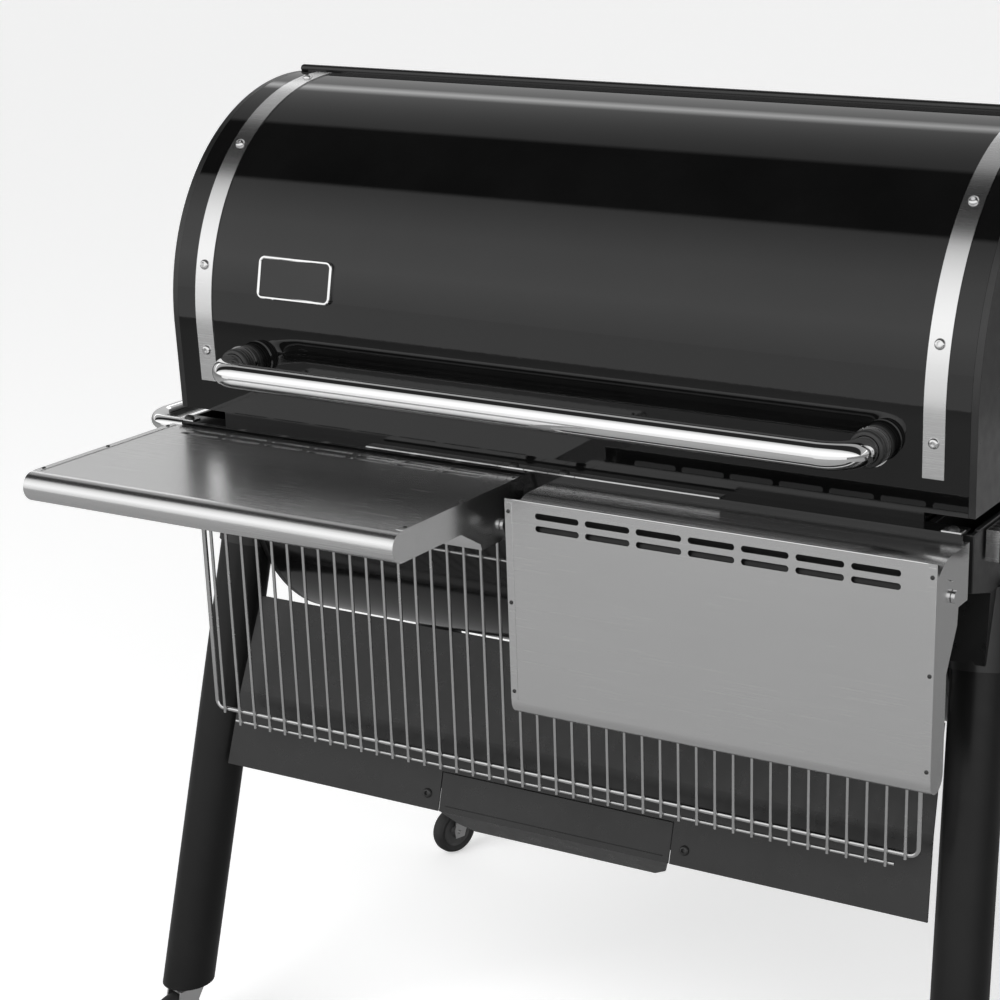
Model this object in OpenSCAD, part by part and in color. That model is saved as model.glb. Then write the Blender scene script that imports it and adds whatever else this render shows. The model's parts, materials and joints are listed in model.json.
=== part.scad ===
// Wood-pellet smoker on a four-leg cart: a barrel lid over a round-bottomed cookbox, two fold-down front shelves,
// a wire guard under them, a rear pellet hopper and an ash drawer in the skirt.
// Body frame: X along the barrel, -Y is the front, Z up from the floor. on_cart() moves it to the part's own frame.

/* [Barrel] */
// Outer radius of the lid
lid_r = 267; // [240:1:300]
// Height of the lid's arc centre above the floor
lid_axis_z = 955; // [930:1:1000]
// Height of the lid's lower front edge
lid_bottom_z = 847; // [840:1:860]
// Half the length of the lid's sheet, to the end castings
barrel_half = 506; // [490:1:620]
// Thickness of the lid's sheet
lid_wall = 2; // [1:0.5:3]
// Thickness of the cast end plates
casting_t = 8; // [5:0.5:12]
// Opening angle of the rear edge of the lid, measured up from the rear
lid_rear_angle = 35; // [30:1:50]

/* [Cookbox] */
// Outer radius of the round bottom
tub_r = 215; // [180:1:225]
// Height of the centre of the round bottom
tub_axis_z = 739; // [720:1:750]
// Half the length of the tub
tub_half = 455; // [420:1:456]
// Thickness of the tub's sheet
tub_wall = 2.5; // [1.5:0.5:4]
// Height of the front ledge
ledge_z = 835; // [825:1:838]
// How far the ledge's lip stands in front of the lid
ledge_lip = 16; // [12:1:24]
// Half the depth of the cooking grates
grate_half_depth = 228; // [200:1:232]

/* [Bands and badge] */
// Width of the steel band at each end of the lid
band_w = 24; // [16:1:32]
// Distance of each band's centre from the lid's middle
band_x = 467; // [440:1:480]
// Thickness of the bands
band_t = 1.2; // [0.8:0.1:2]
// Head radius of the band screws
screw_r = 6; // [4:0.5:8]

/* [Lid handle] */
// Diameter of the handle tube
handle_d = 30; // [22:1:34]
// Distance of the handle's bosses from the middle
handle_x = 404; // [340:1:420]
// Height of the handle
handle_z = 914; // [900:1:935]
// How far the tube's centre line stands in front of the lid's face
handle_reach = 66; // [50:1:75]
// Radius of the tube's bends
handle_bend = 34; // [30:1:44]

/* [Front shelves] */
// Width of one shelf
shelf_w = 500; // [420:1:500]
// Gap between the two shelves
shelf_gap = 33; // [30:1:60]
// Depth of a shelf's flat top, hinge edge to roll
shelf_depth = 231; // [180:1:260]
// Height of a raised shelf's top
shelf_top_z = 829; // [828:0.5:831]
// Depth of the pan, and diameter of its front roll
shelf_t = 34; // [28:1:38]
// Thickness of the shelf sheet
shelf_wall = 1.5; // [1:0.1:2]
// Distance of the shelf's hinge pin below its top
shelf_pin_drop = 44.5; // [43:0.5:50]
// Distance of the shelf's hinge pin in front of its rear edge
shelf_pin_back = 46.5; // [44:0.5:50]
// Diameter of the hinge pins
shelf_pin_d = 8; // [5:0.5:9]
// Number of vent slots in a row
shelf_slots = 7; // [3:1:8]

/* [Wire guard] */
// Spacing of the upright wires
wire_pitch = 23; // [20:0.5:24]
// Number of upright wires
wire_count = 41; // [21:2:41]
// Diameter of the upright wires
wire_d = 4; // [3:0.5:5]
// Diameter of the frame wire
frame_wire_d = 6; // [5:0.5:7]
// Height of the guard's lower frame wire
guard_bottom_z = 470; // [450:1:490]
// Height of the guard's middle rail
guard_rail_z = 728; // [600:1:740]

/* [Skirt and drawer] */
// Height of the skirt's lower edge
skirt_bottom_z = 385; // [370:1:400]
// Height of the bend where the skirt turns back
skirt_bend_z = 477; // [465:1:485]
// Height of the top edge of the sloped panel
panel_top_z = 591; // [570:1:595]
// Thickness of the skirt sheet
skirt_t = 2; // [1:0.5:3]
// Half the width of the drawer front
drawer_half = 158; // [140:1:200]
// How far the drawer pulls out
drawer_travel = 275; // [150:1:280]

/* [Cart] */
// Diameter of the leg tubes
leg_d = 65; // [55:1:70]
// Outward lean of the legs, sideways run over fall
leg_lean_x = 0.065; // [0.04:0.005:0.08]
// Forward or backward lean of the legs, run over fall
leg_lean_y = 0.244; // [0.2:0.005:0.26]
// Height of the tops of the legs
leg_top_z = 664; // [640:1:680]
// Diameter of the caster wheels
wheel_d = 72; // [50:1:80]
// Height of the legs' lower ends above the tops of the wheels
wheel_clear = 14; // [12:1:24]
// Width of the caster wheels
wheel_w = 24; // [16:1:26]
// Horizontal offset of a wheel behind its swivel
caster_trail = 22; // [16:1:26]
// Which way the casters point, turned from straight back
caster_angle = 162; // [0:1:360]

/* [Sides and back] */
// Reach of the left side handle from the cookbox end
side_handle_reach = 88; // [60:1:110]
// Diameter of the side handle
side_handle_d = 20; // [14:1:24]
// Width of the right side table
table_w = 280; // [220:1:320]
// Depth of the right side table
table_d = 420; // [340:1:480]
// Depth of the hopper behind the barrel
hopper_d = 150; // [120:1:170]
// Width of the hopper
hopper_w = 620; // [480:1:700]
// Height of the hopper's rim
hopper_top_z = 985; // [950:1:1000]

/* [Hidden] */
$fn = 64;
fine = 160;          // facets asked for on large arcs; they are rebuilt as true arcs
fit = 0.05;          // radial running clearance of a pin in its hole
gap = 0.5;           // clearance between bodies that pass each other
end_x = barrel_half + casting_t;
lid_taper = 3;       // how far the lid's lower edge tucks under
hinge_y = lid_r * cos(lid_rear_angle) - 16;
hinge_z = lid_axis_z + lid_r * sin(lid_rear_angle) + 6;
hinge_pin_d = 9;
hinge_angle = atan2(hinge_z - lid_axis_z, hinge_y);   // where the hinge lies, above the rear horizontal
hinge_sweep_r = 20;  // the lid's rear edge turns inside this radius
lug_r = 7;
lug_t = 8;
notch_w = 12;
split_y = 40;        // where the lid's lower edge starts to rise to the hinge
ledge_front = lid_r + ledge_lip;
leg_foot_z = wheel_d + wheel_clear;
roll_out = 4;        // the centre of a shelf's front roll stands this far past its flat top
shelf_y = -(ledge_front - 1);                   // rear edge of a raised shelf
shelf_x = [-(shelf_gap / 2 + shelf_w), shelf_gap / 2];  // left end of each shelf
pin_y = shelf_y - shelf_pin_back;
pin_z = shelf_top_z - shelf_pin_drop;
bracket_in = 3;      // side plates stand this far inside the shelf's ends
guard_y = -(ledge_front + 12);
bracket_foot_z = pin_z - 20;
guard_top_z = bracket_foot_z;   // the guard hangs from the shelf brackets' rear walls
guard_half = (wire_count - 1) / 2 * wire_pitch + 0.6 * wire_pitch;
skirt_foot_y = -275;
skirt_bend_y = -248;
panel_top_y = -204;
skirt_foot_half = 480;
skirt_bend_half = 473;
leg_ref_x = tub_half + casting_t + leg_d / 2 + 13;   // leg axis where it crosses the height leg_ref_z
leg_ref_y = 230;
leg_ref_z = 470;
handle_y = -(lid_r + handle_reach);
left_reach = end_x + side_handle_reach;
right_reach = end_x + table_w + 2;
front_reach = -shelf_y + shelf_depth + roll_out + shelf_t / 2;
back_reach = lid_r + hopper_d + 8.5;
cart_x = (left_reach - right_reach) / 2;
cart_y = (front_reach - back_reach) / 2;

// ---- helpers ----

module on_cart() {
    translate([cart_x, cart_y, 0]) children();
}

// extrudes a (y, z) outline along X from x0 to x1
module along_x(x0, x1) {
    translate([x0, 0, 0]) rotate([90, 0, 90]) linear_extrude(x1 - x0) children();
}

// a rod between two points
module rod(a, b, d) {
    v = b - a;
    run = norm([v[0], v[1]]);
    translate(a) rotate([0, atan2(run, v[2]), atan2(v[1], v[0])]) cylinder(h = norm(v), d = d);
}

// a rounded rectangle in the plane
module round_rect(w, h, r) {
    union() {
        square([w - 2 * r, h], center = true);
        square([w, h - 2 * r], center = true);
        for (sx = [-1, 1], sy = [-1, 1])
            translate([sx * (w / 2 - r), sy * (h / 2 - r)]) circle(r);
    }
}

// a quarter bend of a tube in the XY plane, centred on the origin, from +X round to +Y
module tube_bend(r, d) {
    rotate_extrude(angle = 90, $fn = 96) translate([r, 0]) circle(d = d);
}

// ---- lid ----

// the barrel's outline above the lid's lower edge, in (y, z)
module barrel_outline(r) {
    outline_foot_z = ledge_z - 20;
    union() {
        translate([0, lid_axis_z]) circle(r, $fn = fine);
        polygon([[-r, lid_axis_z], [-r + lid_taper, outline_foot_z],
                 [r - lid_taper, outline_foot_z], [r, lid_axis_z]]);
    }
}

// the part of the plane that belongs to the lid
module lid_side_mask() {
    polygon([[-2 * lid_r, lid_bottom_z], [split_y, lid_bottom_z], [hinge_y - 8, hinge_z - 24],
             [hinge_y + 40, hinge_z + 24], [hinge_y, 2 * lid_axis_z], [-2 * lid_r, 2 * lid_axis_z]]);
}

module lid_section(r) {
    intersection() {
        barrel_outline(r);
        lid_side_mask();
    }
}

module lid_shell() {
    color("#141414") on_cart() difference() {
        along_x(-barrel_half, barrel_half) difference() {
            lid_section(lid_r);
            barrel_outline(lid_r - lid_wall);
        }
        // notches in the rear edge that clear the hinge lugs
        for (side = [-1, 1])
            translate([side * (barrel_half - notch_w / 2), hinge_y, hinge_z]) rotate([0, 90, 0])
                cylinder(h = notch_w + 0.2, r = hinge_sweep_r, center = true);
    }
}

module lid_end(side) {
    color("#1a1a1a") on_cart() difference() {
        along_x(side > 0 ? barrel_half : -end_x, side > 0 ? end_x : -barrel_half) lid_section(lid_r);
        translate([0, hinge_y, hinge_z]) rotate([0, 90, 0])
            cylinder(h = 2 * end_x + 2, d = hinge_pin_d + 2 * fit, center = true);
    }
}

module lid_end_left() lid_end(-1);
module lid_end_right() lid_end(1);

module lid_band(side) {
    // the band stops short of the lower edge and behind the ridge rail
    band_foot_z = lid_bottom_z + 37;
    color("#c8c8c8") on_cart() along_x(side * band_x - band_w / 2, side * band_x + band_w / 2)
    intersection() {
        difference() {
            barrel_outline(lid_r + band_t);
            barrel_outline(lid_r);
        }
        union() {
            translate([-2 * lid_r, band_foot_z]) square([2 * lid_r - 6, 2 * lid_r]);
            translate([26, lid_axis_z + lid_r * 0.7]) square([lid_r * 0.5, lid_r]);
        }
    }
}

module lid_band_left() lid_band(-1);
module lid_band_right() lid_band(1);

// domed screws along each band, at angles above the front horizontal
band_screw_angles = [14.7, 48.2, 81, 112];
module domed_screw(r) {
    rotate_extrude() intersection() {
        translate([0, -r * 0.6]) circle(r * 1.17);
        square([r, r]);
    }
}

module band_screws() {
    color("#d8d8d8") on_cart() for (side = [-1, 1]) {
        for (a = band_screw_angles)
            translate([side * band_x, -(lid_r + band_t) * cos(a), lid_axis_z + (lid_r + band_t) * sin(a)])
                rotate([90 - a, 0, 0]) domed_screw(screw_r);
        translate([side * band_x, -lid_r - band_t + lid_taper * 0.18, lid_axis_z - 33])
            rotate([90, 0, 0]) domed_screw(screw_r);
    }
}

boss_d = 40;
boss_face = -handle_y - handle_bend - 3;   // distance of the boss's open end in front of the axis
ring_y = -(lid_r + 0.4 * (boss_face - lid_r));
module lid_handle_tube() {
    bend_x = handle_x - handle_bend;
    color("#e6e6e6") on_cart() union() {
        translate([-bend_x, handle_y, handle_z]) rotate([0, 90, 0]) cylinder(h = 2 * bend_x, d = handle_d);
        for (side = [-1, 1]) {
            translate([side * bend_x, handle_y + handle_bend, handle_z])
                rotate([0, 0, side > 0 ? -90 : 180]) tube_bend(handle_bend, handle_d);
            translate([side * handle_x, handle_y + handle_bend, handle_z]) rotate([-90, 0, 0])
                cylinder(h = -handle_y - handle_bend - boss_face + 12, d = handle_d);
        }
    }
}

module handle_boss(side) {
    color("#1c1c1c") on_cart() difference() {
        translate([side * handle_x, -lid_r + 1, handle_z]) rotate([90, 0, 0])
            cylinder(h = boss_face - lid_r + 1, d = boss_d);
        translate([side * handle_x, -boss_face - 1, handle_z]) rotate([-90, 0, 0])
            cylinder(h = 13 + 0.2, d = handle_d + 2 * fit);
        along_x(-barrel_half, barrel_half) barrel_outline(lid_r);
    }
}

module handle_boss_left() handle_boss(-1);
module handle_boss_right() handle_boss(1);

module handle_rings() {
    ring_w = 3;
    color("#eeeeee") on_cart() for (side = [-1, 1])
        translate([side * handle_x, ring_y, handle_z]) rotate([90, 0, 0]) difference() {
            cylinder(h = ring_w, d = boss_d + 3);
            translate([0, 0, -1]) cylinder(h = ring_w + 2, d = boss_d);
        }
}

badge_w = 104;
badge_h = 50;
badge_t = 3;
module lid_badge() {
    badge_x = -334;
    badge_rise = 61;   // height of the badge's centre above the lid's axis
    badge_angle = asin(badge_rise / lid_r);
    color("#d0d0d0") on_cart() translate([badge_x, -lid_r * cos(badge_angle), lid_axis_z + badge_rise])
        rotate([90 - badge_angle, 0, 0]) linear_extrude(badge_t) round_rect(badge_w, badge_h, 8);
}

module lid_ridge_rail() {
    rail_r = 5;
    color("#101010") on_cart() difference() {
        union() {
            translate([-end_x + rail_r, 8, lid_axis_z + lid_r + 3]) rotate([0, 90, 0])
                cylinder(h = 2 * (end_x - rail_r), r = rail_r);
            for (side = [-1, 1])
                translate([side * (end_x - rail_r), 8, lid_axis_z + lid_r + 3]) sphere(rail_r);
            translate([-barrel_half + 6, 3, lid_axis_z + lid_r - 2]) cube([2 * barrel_half - 12, 16, 4]);
        }
        along_x(-end_x - 1, end_x + 1) barrel_outline(lid_r);
    }
}

// ---- cookbox ----

module rear_outline(r) {
    intersection() {
        barrel_outline(r);
        polygon([[split_y + 3, ledge_z - 3], [2 * lid_r, ledge_z - 3], [2 * lid_r, hinge_z],
                 [hinge_y + 50, hinge_z + 22], [hinge_y - 5, hinge_z - 26], [split_y + 3, lid_bottom_z]]);
    }
}

module rear_hood() {
    inner_r = lid_r - 2 * lid_wall - 2;
    outer_r = inner_r + lid_wall;
    rim_t = 10;          // width of the ring that joins the hood to its end plates
    color("#181818") on_cart() difference() {
        union() {
            difference() {
                union() {
                    along_x(-barrel_half, barrel_half) difference() {
                        rear_outline(outer_r);
                        barrel_outline(inner_r);
                    }
                    for (side = [-1, 1])
                        along_x(side > 0 ? barrel_half : -end_x, side > 0 ? end_x : -barrel_half) difference() {
                            rear_outline(lid_r);
                            barrel_outline(inner_r - rim_t);
                        }
                    for (side = [-1, 1])
                        along_x(side > 0 ? end_x - 2 : -end_x, side > 0 ? end_x : -end_x + 2)
                            rear_outline(lid_r);
                }
                translate([0, hinge_y, hinge_z]) rotate([0, 90, 0])
                    cylinder(h = 2 * end_x + 2, r = hinge_sweep_r, center = true);
            }
            // lugs that carry the hinge pins
            for (side = [-1, 1])
                translate([side * (barrel_half - notch_w / 2), hinge_y, hinge_z]) rotate([0, 90, 0])
                    linear_extrude(lug_t, center = true) union() {
                        circle(lug_r);
                        rotate(hinge_angle) translate([0, -lug_r + 1]) square([26, 2 * lug_r - 2]);
                    }
        }
        translate([0, hinge_y, hinge_z]) rotate([0, 90, 0])
            cylinder(h = 2 * end_x + 2, d = hinge_pin_d, center = true);
    }
}

module lid_hinge_pins() {
    pin_len = casting_t + notch_w + 2;
    color("#9a9a9a") on_cart() for (side = [-1, 1])
        translate([side * (end_x - pin_len / 2 + 1), hinge_y, hinge_z]) rotate([0, 90, 0])
            cylinder(h = pin_len, d = hinge_pin_d, center = true);
}

shoulder_y = lid_r - 9;   // the tub widens to this half-depth at its rim
waist_z = ledge_z - 48;   // where it starts to widen
rim_z = ledge_z - 12;     // where it stops
// height of the inside of the widening wall at a distance y from the middle
function slope_z(y) = waist_z + (rim_z - waist_z) * (y - tub_r + tub_wall) / (shoulder_y - tub_r);

drop_y = ledge_front - 5;   // the ledge's lip overhangs its downturned flange

// the tub's outline: a round bottom with straight sides and shoulders out to the lid's width
module tub_outline(inset) {
    r = tub_r - inset;
    shoulder = shoulder_y - inset;
    top = ledge_z + 18;
    union() {
        intersection() {
            translate([0, tub_axis_z]) circle(r, $fn = fine);
            translate([-lid_r, 0]) square([2 * lid_r, tub_axis_z]);
        }
        polygon([[-r, tub_axis_z], [r, tub_axis_z], [r, waist_z], [shoulder, rim_z], [shoulder, top],
                 [-shoulder, top], [-shoulder, rim_z], [-r, waist_z]]);
    }
}

module cookbox_shell() {
    ledge_t = 2.5;
    color("#262626") on_cart() difference() {
        union() {
            along_x(-tub_half, tub_half) tub_outline(0);
            translate([-barrel_half, -ledge_front, ledge_z - ledge_t])
                cube([2 * barrel_half, ledge_front - shoulder_y + 1, ledge_t]);
            translate([-barrel_half, -drop_y, ledge_z - 26]) cube([2 * barrel_half, ledge_t, 26]);
            translate([-tub_half, shoulder_y - 1, ledge_z - 3 - ledge_t])
                cube([2 * tub_half, lid_r - shoulder_y + 1, ledge_t]);
        }
        along_x(-tub_half - 1, tub_half + 1) tub_outline(tub_wall);
        translate([-tub_half - 1, -shoulder_y + tub_wall, rim_z + 1])
            cube([2 * tub_half + 2, 2 * (shoulder_y - tub_wall), 60]);
        translate([0, 0, tub_axis_z - tub_r - 5]) cylinder(h = 40, d = pot_d + 2);
        translate([0, 0, auger_z]) rotate([-90, 0, 0]) cylinder(h = lid_r, d = auger_in + 5);
    }
}

// cast end: a plate over the tub's end, and a hollow ledge out to the lid's end
casting_foot_z = ledge_z - 84;
module cookbox_end(side) {
    inner = side * tub_half;
    plate = side * (tub_half + casting_t);
    outer = side * end_x;
    face_y = lid_r - 1;
    color("#222222") on_cart() difference() {
        union() {
            along_x(min(inner, plate), max(inner, plate)) intersection() {
                tub_outline(0);
                square([3 * lid_r, 2 * ledge_z - 6], center = true);
            }
            along_x(min(inner, outer), max(inner, outer)) polygon([
                [-face_y, ledge_z - 68], [-tub_r + 4, casting_foot_z], [tub_r - 4, casting_foot_z],
                [face_y, ledge_z - 68], [face_y, ledge_z - 3], [-face_y, ledge_z - 3]]);
        }
        // the ledge passes over the casting's front
        translate([-end_x - 1, -ledge_front - 1, ledge_z - 5]) cube([2 * end_x + 2, ledge_front - face_y + 16, 28]);
        translate([-end_x - 1, shoulder_y - 1, ledge_z - 6]) cube([2 * end_x + 2, 30, 4]);
        along_x(min(plate, outer - side * 6), max(plate, outer - side * 6)) polygon([
            [-face_y + 6, ledge_z - 62], [face_y - 6, ledge_z - 62], [face_y - 6, ledge_z],
            [-face_y + 6, ledge_z]]);
    }
}

module cookbox_end_left() cookbox_end(-1);
module cookbox_end_right() cookbox_end(1);

// a cover strip on the ledge, and a clip plate under each of its bolts
strip_half = 230;
strip_d = 14;
strip_t = 1.5;
clip_w = [34, 22];                        // inner and outer clip
ledge_bolt_x = [33, barrel_half - 11];    // inner and outer bolt
module ledge_plate() {
    color("#3a3a3a") on_cart() {
        translate([-strip_half, -ledge_front, ledge_z]) difference() {
            cube([2 * strip_half, strip_d, strip_t]);
            for (side = [-1, 1])
                translate([strip_half + side * ledge_bolt_x[0] - clip_w[0] / 2 - 1, -1, -1])
                    cube([clip_w[0] + 2, strip_d + 2, strip_t + 2]);
        }
        for (side = [-1, 1], i = [0, 1])
            translate([side * ledge_bolt_x[i] - clip_w[i] / 2, -ledge_front, ledge_z])
                cube([clip_w[i], strip_d, strip_t]);
    }
}

grate_z = slope_z(grate_half_depth) + 4.4;
module cooking_grate(side) {
    bar_w = 6;
    bar_count = 18;
    gap_mid = 3;
    w = tub_half - tub_wall - gap_mid - 3;
    color("#2e2e2e") on_cart() translate([side > 0 ? gap_mid : -gap_mid - w, 0, grate_z]) union() {
        for (y = [-grate_half_depth, -4, grate_half_depth - 8])
            translate([0, y, -4]) cube([w, 8, 10]);
        for (i = [0:bar_count])
            translate([i * (w - bar_w) / bar_count, -grate_half_depth, 0])
                cube([bar_w, 2 * grate_half_depth, 6]);
    }
}

module cooking_grate_left() cooking_grate(-1);
module cooking_grate_right() cooking_grate(1);

module warming_rack() {
    $fn = 24;
    rack_z = lid_axis_z + 25;
    rack_half = tub_half - 30;
    wires = 10;
    rack_y = 70;
    rack_d = 150;
    post_y = rack_y + rack_d + 20;
    foot_z = ledge_z + 10;
    color("#b0b0b0") on_cart() union() {
        for (i = [0:wires])
            rod([-rack_half, rack_y + i * rack_d / wires, rack_z],
                [rack_half, rack_y + i * rack_d / wires, rack_z], 4);
        for (x = [-rack_half, -rack_half / 3, rack_half / 3, rack_half]) {
            rod([x, rack_y - 2, rack_z], [x, post_y + 3, rack_z], 6);
            rod([x, post_y, rack_z], [x, post_y, foot_z - 3], 6);
            rod([x, post_y, foot_z], [x, shoulder_y - tub_wall, foot_z], 6);
        }
    }
}

module deflector_bars() {
    bars = 5;
    color("#555555") on_cart() for (i = [0:bars - 1])
        translate([0, (i - (bars - 1) / 2) * 78, ledge_z - 60]) along_x(-tub_half, tub_half)
            polygon([[-26, 0], [0, 22], [26, 0], [24, 0], [0, 19.5], [-24, 0]]);
}

pot_d = 90;
module burn_pot() {
    flange_t = 3;
    color("#8a8a8a") on_cart() translate([0, 0, tub_axis_z - tub_r - flange_t]) difference() {
        union() {
            cylinder(h = 120, d = pot_d);
            cylinder(h = flange_t, d = pot_d + 24);
        }
        translate([0, 0, 4]) cylinder(h = 120, d = pot_d - 6);
        translate([0, 0, auger_z - tub_axis_z + tub_r + flange_t]) rotate([-90, 0, 0])
            cylinder(h = 60, d = auger_in + 10);
    }
}

auger_z = 620;
auger_y0 = 48;
auger_y1 = lid_r + hopper_d - 70;
auger_in = 48;
module auger_tube() {
    color("#777777") on_cart() difference() {
        translate([0, auger_y0, auger_z]) rotate([-90, 0, 0]) cylinder(h = auger_y1 - auger_y0, d = auger_in + 5);
        translate([0, auger_y0 - 1, auger_z]) rotate([-90, 0, 0])
            cylinder(h = auger_y1 - auger_y0 - 3, d = auger_in);
        translate([0, auger_y1 - 10, auger_z]) rotate([-90, 0, 0]) cylinder(h = 20, d = 14 + 2 * fit);
        translate([-20, tub_r + 24, auger_z]) cube([40, 60, 60]);
    }
}

module auger() {
    flights = 6;
    step = (auger_y1 - auger_y0 - 60) / flights;
    color("#aaaaaa") on_cart() union() {
        translate([0, auger_y0 + 6, auger_z]) rotate([-90, 0, 0])
            cylinder(h = auger_y1 - auger_y0 + 4, d = 14);
        for (i = [0:flights])
            translate([0, auger_y0 + 20 + i * step, auger_z]) rotate([-90 + 14, 0, 0])
                cylinder(h = 3, d = auger_in - 5, center = true);
    }
}

module auger_motor() {
    color("#3c3c3c") on_cart() difference() {
        union() {
            translate([-34, auger_y1 + 0.5, auger_z - 40]) cube([68, 36, 80]);
            translate([0, auger_y1 + 36, auger_z]) rotate([-90, 0, 0]) cylinder(h = 24, d = 60);
        }
        translate([0, auger_y1 - 1, auger_z]) rotate([-90, 0, 0]) cylinder(h = 14, d = 14 + 2 * fit);
    }
}

// ---- hopper ----

hopper_y0 = lid_r;
hopper_y1 = lid_r + hopper_d;
hopper_wall = 2;
module hopper_outline(inset) {
    funnel_y = hopper_y0 + 30;
    polygon([[hopper_y0 + inset, hopper_top_z + (inset > 0 ? 1 : 0)],
             [hopper_y1 - inset, hopper_top_z + (inset > 0 ? 1 : 0)],
             [hopper_y1 - inset, auger_z + 160], [funnel_y + 44 - inset, auger_z + 60 + inset],
             [funnel_y - 22 + inset, auger_z + 60 + inset], [hopper_y0 + inset, auger_z + 90]]);
}

module hopper() {
    color("#1e1e1e") on_cart() difference() {
        union() {
            along_x(-hopper_w / 2, hopper_w / 2) hopper_outline(0);
            translate([-60, tub_r + 20, auger_z + 26.5]) cube([120, 100, 60]);
        }
        along_x(-hopper_w / 2 + hopper_wall, hopper_w / 2 - hopper_wall) hopper_outline(hopper_wall);
        translate([-20, tub_r + 24, auger_z]) cube([40, 60, 120]);
        translate([0, 0, auger_z]) rotate([-90, 0, 0]) cylinder(h = 500, d = auger_in + 5);
    }
}

hopper_hinge_y = hopper_y1 + 5;
hopper_hinge_z = hopper_top_z + 4;
hopper_lid_y0 = hopper_y0 + 8;
module hopper_lid() {
    lid_t = 14;
    pad = 6;
    color("#161616") on_cart() difference() {
        union() {
            translate([-hopper_w / 2 - pad, hopper_lid_y0, hopper_top_z + gap])
                cube([hopper_w + 2 * pad, hopper_y1 - hopper_lid_y0 - 2, lid_t]);
            translate([-hopper_w / 4, hopper_hinge_y, hopper_hinge_z]) rotate([0, 90, 0])
                cylinder(h = hopper_w / 2, d = 7);
            translate([-hopper_w / 4, hopper_y1 - 3, hopper_hinge_z - 3]) cube([hopper_w / 2, 7, 6]);
        }
        translate([-hopper_w / 2 + 2, hopper_lid_y0 + 2, hopper_top_z - 1])
            cube([hopper_w - 4, hopper_y1 - hopper_lid_y0 - 8, lid_t - 2]);
        translate([0, hopper_hinge_y, hopper_hinge_z]) rotate([0, 90, 0])
            cylinder(h = hopper_w, d = 4 + 2 * fit, center = true);
    }
}

module hopper_hinge_pin() {
    color("#8c8c8c") on_cart() union() {
        translate([0, hopper_hinge_y, hopper_hinge_z]) rotate([0, 90, 0])
            cylinder(h = hopper_w / 2 + 24, d = 4, center = true);
        for (side = [-1, 1])
            translate([side * (hopper_w / 4 + 7) - 4, hopper_y1, hopper_hinge_z - 14]) cube([8, 7, 16]);
    }
}

module power_inlet() {
    box_w = 50;
    color("#222222") on_cart() difference() {
        translate([hopper_w / 2, hopper_y0 + 40, ledge_z - 60]) cube([box_w, 40, 40]);
        translate([hopper_w / 2 + 12, hopper_y0 + 60, ledge_z - 50]) cube([26, 30, 20]);
    }
}

// ---- skirt and drawer ----

module skirt_line(t) {
    polygon([[skirt_foot_y, skirt_bottom_z], [skirt_bend_y, skirt_bend_z], [panel_top_y, panel_top_z],
             [panel_top_y + t, panel_top_z], [skirt_bend_y + t, skirt_bend_z - 1],
             [skirt_foot_y + t, skirt_bottom_z]]);
}

drawer_top_z = skirt_bend_z - 46;
module skirt_panel() {
    flare = skirt_foot_half - skirt_bend_half;
    color("#303030") on_cart() difference() {
        along_x(-skirt_foot_half, skirt_foot_half) skirt_line(skirt_t);
        for (side = [-1, 1])
            translate([0, 0, skirt_bend_z]) rotate([90, 0, 0]) linear_extrude(600, center = true)
                polygon([[side * skirt_bend_half, 0], [side * (skirt_bend_half - 14), 200], [side * 600, 200],
                         [side * 600, skirt_bottom_z - skirt_bend_z - 1],
                         [side * (skirt_foot_half + 0.1), skirt_bottom_z - skirt_bend_z - 1],
                         [side * (skirt_bend_half + flare), skirt_bottom_z - skirt_bend_z]]);
        translate([-drawer_half - 1.5, -400, skirt_bottom_z - 10])
            cube([2 * drawer_half + 3, 250, drawer_top_z - skirt_bottom_z + 11.5]);
    }
}

module body_bolts() {
    skirt_tilt = atan((skirt_bend_y - skirt_foot_y) / (skirt_bend_z - skirt_bottom_z));
    rise = 18.5;
    color("#2a2a2a") on_cart() for (side = [-1, 1]) {
        translate([side * (drawer_half + 19), skirt_foot_y + rise * tan(skirt_tilt) - 0.05, skirt_bottom_z + rise])
            rotate([90 - skirt_tilt, 0, 0]) domed_screw(6);
        for (x = ledge_bolt_x)
            translate([side * x, -ledge_front + 7, ledge_z + strip_t]) domed_screw(6);
    }
}

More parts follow.
